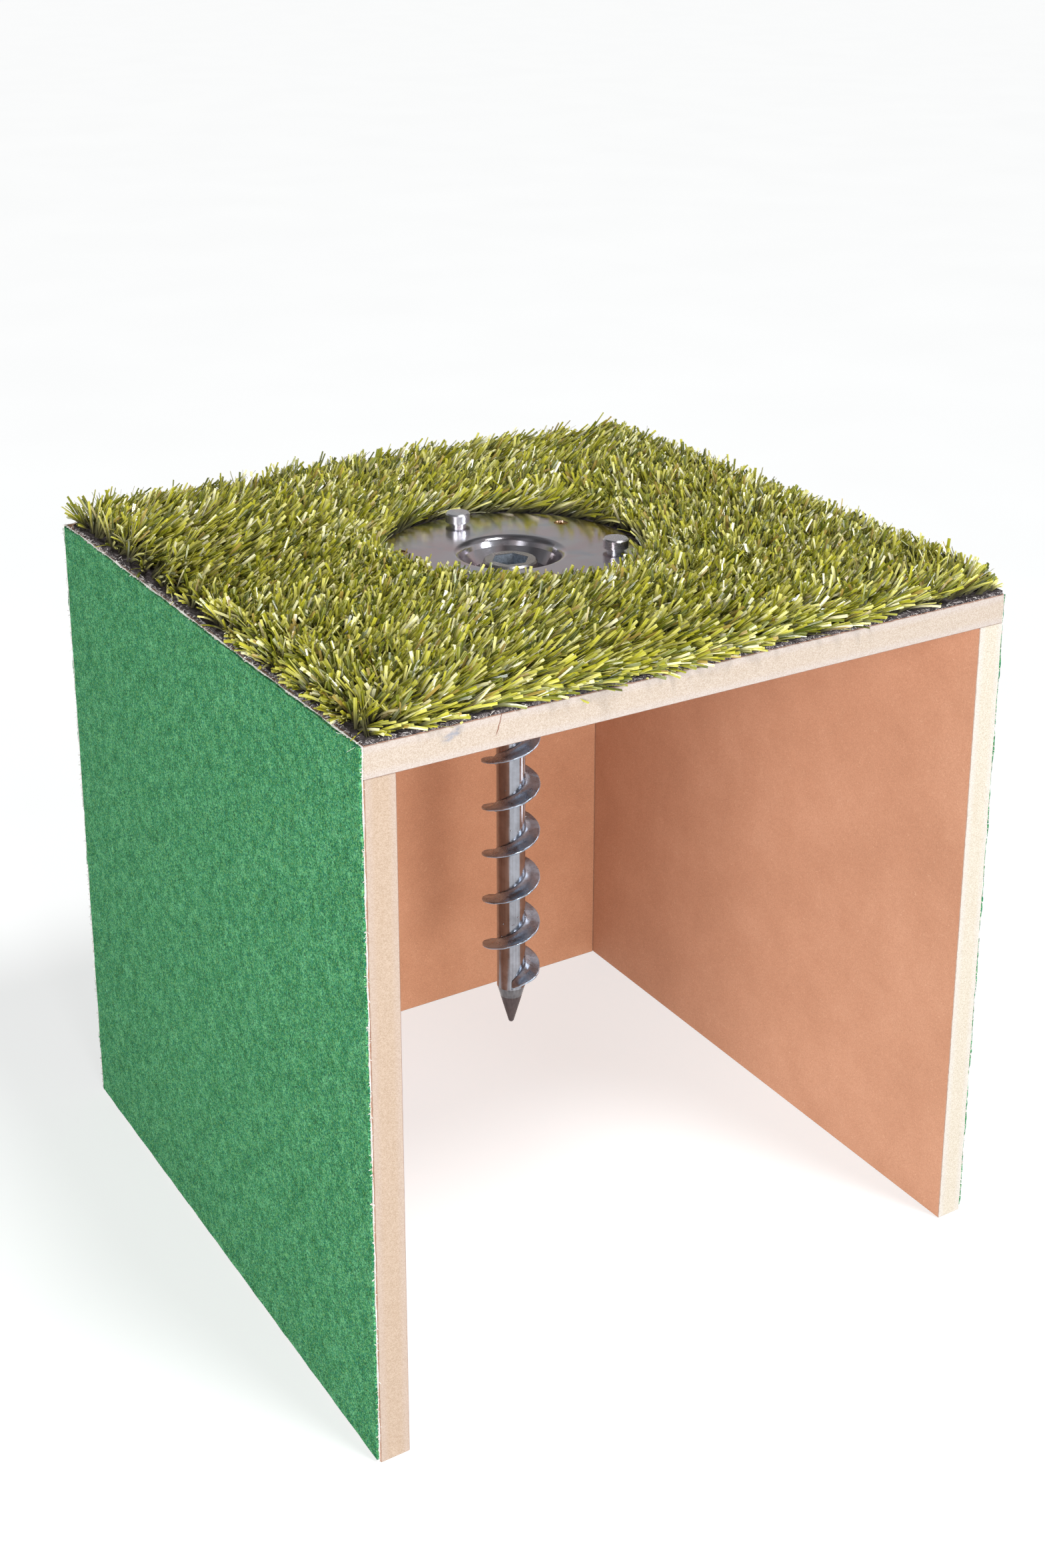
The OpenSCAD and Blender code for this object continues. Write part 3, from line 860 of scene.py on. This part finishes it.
def make_turf(material):
    """The pile: blades in tufts, kept near the boards' outline, in a grid of pieces and one of strays."""
    rng = np.random.default_rng(11)
    tufts = tuft_places(rng)
    tuft_lean = blade_leans(tufts, rng, 0.4)
    owner = np.repeat(np.arange(len(tufts)), BLADES_IN_TUFT)
    n = len(owner)
    at = tufts[owner] + rng.normal(size=(n, 2)) * 0.7 * MM
    lean = tuft_lean[owner] + rng.normal(size=(n, 2)) * 0.24
    size = np.linalg.norm(lean, axis=1)
    lean *= np.minimum(1, LEAN_LIMIT / size)[:, None]
    lengths = rng.uniform(*BLADE_LENGTHS_MM, n) * MM
    lengths *= np.where(rng.random(n) < 0.16, rng.uniform(0.4, 0.8, n), 1)
    # the pile is as tall as the frame's, but lower round the plate
    near, behind = near_plate(at)
    right = np.clip(1 + at[:, 0] / (70 * MM), 0.1, 1)
    tall = (PILE_TOP - backing_high.z) * (1 - 0.28 * near * (1 - behind) * right)
    tall *= 1 - 0.25 * near * behind
    slope = np.sqrt(1 + (lean ** 2).sum(axis=1))
    lengths = np.minimum(lengths, tall * slope * rng.uniform(0.86, 1.04, n))
    droops = rng.uniform(0.0, 0.7, n) * np.where(rng.random(n) < 0.25, 2, 1)
    # a blade that would reach past the boards by more than OVERHANG is shortened
    reach = np.clip(np.minimum(size, LEAN_LIMIT) / slope + 0.6 * droops + 0.15, 0, 1)
    tips = at + lean / np.maximum(size, 0.01)[:, None] * (lengths * reach)[:, None]
    low, high = np.array(board_low[:2]) - OVERHANG, np.array(board_high[:2]) + OVERHANG
    past = np.maximum(tips - high, low - tips).max(axis=1)
    lengths = np.maximum(lengths - np.maximum(past, 0) / np.maximum(reach, 0.3), 5 * MM)
    ways = np.column_stack([lean, np.ones(n)]) / slope[:, None]
    roots = np.column_stack([at, np.full(n, backing_high.z - 0.5 * MM)])
    widths = rng.uniform(*BLADE_WIDTHS_MM, n) * MM
    made = strands(roots, ways, lengths, widths, droops, BLADE_STEPS, BLADE_RIDGE, rng)
    tint = np.clip(rng.normal(0.48, 0.1, len(tufts))[owner] + rng.normal(0, 0.27, n), 0, 1)
    cell = np.clip(((at / backing_high.x + 1) / 2 * TURF_PARTS).astype(int), 0, TURF_PARTS - 1)
    column, row = cell[:, 0], cell[:, 1]
    pieces = [blade_piece(f"turf_blades_{c + 1}_{r + 1}", made, tint, (column == c) & (row == r), material)
              for c in range(TURF_PARTS) for r in range(TURF_PARTS)]
    strays = stray_blades(rng)
    every = np.ones(len(STRAY_BLADES), bool)
    stray_tint = rng.uniform(0.4, 0.8, len(every))
    pieces.append(blade_piece("turf_blades_stray", strays, stray_tint, every, material))
    return pieces


def blade_piece(name, made, tint, chosen, material):
    """The chosen blades of all those made, as one piece."""
    points, faces, ups, across, each = made
    keep = np.repeat(chosen, each)
    renumber = np.cumsum(keep) - 1
    kept = [tuple(renumber[list(f)].tolist()) for f in faces if chosen[f[0] // each]]
    values = {"tint": np.repeat(tint, each)[keep], "up": ups[keep], "across": across[keep]}
    piece = make_piece(name, points[keep], kept, material, "block", attributes=values)
    map_blades(piece, int(chosen.sum()), each // 3 - 1)
    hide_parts("turf_pile")
    return piece


def map_blades(piece, count, steps):
    """A UV map with a small cell a blade: its three sides side by side, its ends below and above."""
    side = math.ceil(math.sqrt(count))
    number = np.arange(count)
    cell = np.stack([number % side, number // side], axis=-1)[:, None, :]
    low, high = 0.08, 0.92
    groups = []
    for k in range(steps):
        v0, v1 = (low + (high - low) * share / steps for share in (k, k + 1))
        for s in range(3):
            u0, u1 = (s + 0.12) / 3, (s + 0.88) / 3
            groups.append([(u0, v0), (u1, v0), (u1, v1), (u0, v1)])
    groups.append([(0.1, 0.01), (0.9, 0.01), (0.5, 0.06)])
    groups.append([(0.1, 0.94), (0.9, 0.94), (0.5, 0.99)])
    places = [((cell + np.array(group)[None]) / side).reshape(-1, 2) for group in groups]
    layer = piece.data.uv_layers.new(name="OFBake")
    layer.data.foreach_set("uv", np.concatenate(places).ravel().astype(np.float32))


def make_fluff(material):
    """Pale fibres along the backing's cut edge, and the corner's threads."""
    rng = np.random.default_rng(21)
    outline = turf_outline(1.1 * MM)
    middle = (outline.max(0) + outline.min(0)) / 2
    outward = outline - middle
    outward = unit(outward / np.abs(outward).max(axis=1)[:, None])
    n = len(outline)
    roots = np.column_stack([outline - outward * rng.uniform(-0.1, 1.2, (n, 1)) * MM,
                             rng.uniform(backing_low.z + 0.3 * MM, backing_high.z + 0.1 * MM, n)])
    ways = unit(np.column_stack([outward * rng.uniform(0.1, 0.9, (n, 1)) + rng.normal(size=(n, 2)) * 0.7,
                                 rng.uniform(-0.2, 0.6, n)]))
    lengths = rng.uniform(1.0, 3.4, n) * MM
    droops = rng.uniform(0, 2.5, n)
    points, faces, *_ = strands(roots, ways, lengths, np.full(n, 0.22 * MM), droops, 3, 0.12 * MM, rng, 0.6)
    make_threads(material, rng)
    return make_piece("turf_backing_fluff", points, faces, material, "block")


def make_threads(material, rng):
    """Loose pale threads that hang over the felt at the front left corner."""
    n = CORNER_THREADS
    roots = np.column_stack([np.full(n, backing_low.x - 0.3 * MM),
                             backing_low.y + rng.uniform(0, 34, n) * MM,
                             rng.uniform(backing_low.z, backing_high.z, n)])
    ways = unit(np.column_stack([rng.uniform(-1, -0.5, n), rng.uniform(-0.9, 0.9, n),
                                 rng.uniform(-0.7, 0.1, n)]))
    lengths, droops = rng.uniform(5, 13, n) * MM, rng.uniform(1, 3, n)
    points, faces, *_ = strands(roots, ways, lengths, np.full(n, 0.15 * MM), droops, 14, 0.1 * MM, rng, 5)
    points[:, 0] = np.minimum(points[:, 0], FELT_FACE_X - 0.15 * MM)
    make_piece("corner_threads", points, faces, material, "block")


# ---- ground screw

FLIGHT_START = math.radians(-120)
FLIGHT_PITCH = 35 * MM
FLIGHT_EDGE = 1.8 * MM
FLIGHT_ROOT = 3.2 * MM
END_DROP = 2.2 * MM
WELD_GAP = math.radians(165)
WELD_LENGTH = math.radians(46)
WELD_STEPS = 26
SPATTER = 46


def flight_radius(a, a0, a1):
    """The flight's outer radius: it grows out of the shaft over its first and last sixth of a turn."""
    share = np.clip(np.minimum(a - a0, a1 - a) / math.radians(60), 0, 1)
    tail = SHAFT_R + 1 * MM
    return tail + (FLIGHT_R - tail) * np.sqrt(share)


def helix_sweep(name, angles, sections, heights, material, body):
    """Sweeps a closed section of (radius, height) pairs, one for each angle, into a closed solid."""
    n, m = sections.shape[:2]
    r = sections[:, :, 0]
    z = sections[:, :, 1] + heights[:, None]
    points = np.stack([r * np.cos(angles)[:, None], r * np.sin(angles)[:, None], z], axis=-1).reshape(-1, 3)
    faces = []
    for i in range(n - 1):
        for k in range(m):
            a, b = i * m + k, i * m + (k + 1) % m
            faces.append((a, b, b + m, a + m))
    faces.append(tuple(range(m))[::-1])
    faces.append(tuple((n - 1) * m + k for k in range(m)))
    return make_piece(name, points, faces, material, body, smooth=True)


def make_flight(material, weld):
    """The helical strip: thick at its root, uneven at its edge and bent down at its lower end."""
    rng = np.random.default_rng(4)
    turns = (flight_high.z - flight_low.z - FLIGHT_ROOT) / FLIGHT_PITCH
    steps = int(turns * 120)
    a0, a1 = FLIGHT_START, FLIGHT_START + turns * 2 * math.pi
    angles = np.linspace(a0, a1, steps + 1)
    heights = (angles - a0) / (2 * math.pi) * FLIGHT_PITCH + flight_low.z + FLIGHT_ROOT / 2
    heights -= END_DROP * np.clip(1 - (angles - a0) / math.radians(50), 0, 1) ** 2
    outer = flight_radius(angles, a0, a1)
    burr = np.convolve(rng.normal(size=steps + 1), [0.25, 0.5, 0.25], "same") * 0.16 * MM
    wobble = wave(angles * 1.7, 3, 0.25 * MM)
    sections = []
    for r, rough, sway in zip(outer + burr, burr, wobble):
        half, root = FLIGHT_EDGE / 2, SHAFT_R - 0.4 * MM
        near, mid, far = (min(SHAFT_R + reach, r - 0.9 * MM) for reach in (0.8 * MM, 2.2 * MM, 4.5 * MM))
        sections.append([
            (root, -3.4 * MM), (near, -2.3 * MM), (mid, -1.5 * MM), (far, -1.0 * MM + sway * 0.3),
            (r - 0.7 * MM, -half + sway), (r - 0.15 * MM, -half * 0.75 + sway + rough),
            (r, -half * 0.1 + sway), (r - 0.1 * MM, half * 0.7 + sway - rough),
            (r - 0.6 * MM, half + sway),
            (far, 1.3 * MM + sway * 0.3), (mid, 2.2 * MM), (near, 3.4 * MM), (root, 4.9 * MM),
        ])
    sections = np.array(sections)
    flight = helix_sweep("screw_flight_ribbon", angles, sections, heights, material, "ground_screw")
    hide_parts("screw_flight")
    make_welds(angles, heights, weld, rng)


def make_welds(angles, heights, weld, rng):
    """Short weld beads under the flight's root, and the spatter that they left on the shaft."""
    start = angles[0] + math.radians(8)
    index = 0
    while start + WELD_LENGTH < angles[-1]:
        a = np.linspace(start, start + WELD_LENGTH, WELD_STEPS)
        h = np.interp(a, angles, heights) - 2.3 * MM
        swell = np.sin(np.linspace(0, np.pi, WELD_STEPS)) ** 0.4
        ripple = 1 + 0.16 * np.sin(np.arange(WELD_STEPS) * 2.4 + rng.uniform(0, 6))
        radius = 1.25 * MM * swell * ripple + 0.05 * MM
        turn = np.linspace(0, 2 * np.pi, 10, endpoint=False)
        section = np.stack([SHAFT_R + 0.25 * MM + radius[:, None] * np.cos(turn),
                            radius[:, None] * 0.9 * np.sin(turn)], axis=-1)
        helix_sweep(f"flight_weld_{index + 1:02d}", a, section, h, weld, "ground_screw")
        index += 1
        start += WELD_GAP
    make_spatter(angles, heights, weld, rng)


def make_spatter(angles, heights, weld, rng):
    """Small balls on the shaft over the flight, each of four rings of six points with flat ends."""
    points, faces = [], []
    ball = [(math.cos(t) * math.sin(p), math.sin(t) * math.sin(p), math.cos(p))
            for p in np.linspace(0.35, math.pi - 0.35, 4) for t in np.linspace(0, 2 * math.pi, 7)[:-1]]
    for _ in range(SPATTER):
        a = rng.uniform(angles[0], angles[-1])
        z = np.interp(a, angles, heights) + rng.uniform(3.5, 15) * MM
        size = rng.uniform(0.25, 0.6) * MM
        centre = np.array([math.cos(a) * SHAFT_R, math.sin(a) * SHAFT_R, min(z, shaft_high.z - 4 * MM)])
        base = len(points)
        points += [(centre + np.array(p) * size).tolist() for p in ball]
        for ring in range(3):
            for k in range(6):
                b = base + ring * 6
                faces.append((b + k, b + (k + 1) % 6, b + 6 + (k + 1) % 6, b + 6 + k)[::-1])
        faces.append(tuple(base + k for k in range(6)))
        faces.append(tuple(base + 18 + k for k in range(6))[::-1])
    make_piece("weld_spatter", points, faces, weld, "ground_screw", smooth=True)


# ---- the scene

def paint(node, material):
    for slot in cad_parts[node].material_slots:
        slot.material = material


def paint_boards():
    """Each board's edges get their own tint of painted light and shade: the top's and the left's are
    painted darker, the right's lighter, and the back board's faces are painted lighter.
    """
    side = board_high.x - BOARD_T / 2
    back_low, back_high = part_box("back_panel")
    back = (back_low.y + back_high.y) / 2
    top_look = board_look("board_top", "Z", TOP_Z - BOARD_T / 2, edge_painted_light=(0.82, 0.86, 0.91), marks=True)
    paint("top_panel", top_look)
    paint("left_panel", board_look("board_left", "X", -side, edge_painted_light=(0.75, 0.715, 0.685)))
    paint("right_panel", board_look("board_right", "X", side, edge_painted_light=(0.98, 1.1, 1.16)))
    paint("back_panel", board_look("board_back", "Y", back, face_painted_light=(1.2, 1.18, 1.12)))


def paint_metal():
    turned = (1, 1, 6)
    plate = zinc_look("plate_zinc", dark=(0.6, 0.47, 0.49), light=(0.58, 0.55, 0.58),
                      tint=(0.46, 0.5, 0.57), rough=0.14)
    stud = zinc_look("stud_zinc", dark=(0.64, 0.58, 0.61), light=(0.8, 0.76, 0.8),
                     tint=(0.7, 0.74, 0.8), rough=0.24, brushed=turned)
    head = zinc_look("head_zinc", dark=(0.44, 0.39, 0.37), light=(0.54, 0.5, 0.47),
                     tint=(0.46, 0.47, 0.5), rough=0.26, brushed=turned, socket=True)
    shaft = steel_look("shaft_steel", *SHAFT_TONES, rough=0.14)
    point = steel_look("point_steel", (0.07, 0.055, 0.055), (0.13, 0.105, 0.105), rough=0.42,
                       rings=0.8, bright_above=shaft_low.z - BRIGHT_CONE)
    paint("flange_plate", plate)
    paint("bearing_collar", plate)
    paint("socket_head", head)
    paint("screw_shaft", shaft)
    paint("screw_point", point)
    for node in ("rear_stud", "front_left_stud", "front_right_stud"):
        paint(node, stud)
    yellow = yellow_zinc_look()
    for node in ("top_wood_screws", "side_wood_screws",
                 "left_plate_screw", "right_plate_screw", "front_plate_screw"):
        paint(node, yellow)


scene.view_settings.view_transform = "Standard"
make_camera()
make_world()
make_lights()
make_floor()
paint_boards()
paint_metal()
fluff = fluff_look()
make_felts(felt_look(), latex_look(), fluff)
turf_sheet = make_turf_backing(fleece_look())
turf_blades = make_turf(blade_look()) + [make_fluff(fluff)]
# painted reflection: the flight's blue-grey base colour cancels the brown that it reflects from the boards
# and turns its glints blue-white
make_flight(steel_look("flight_steel", (0.24, 0.29, 0.36), (0.42, 0.5, 0.6), 0.26, metal=0.85),
            steel_look("weld_steel", (0.24, 0.24, 0.26), (0.46, 0.47, 0.5), 0.26))
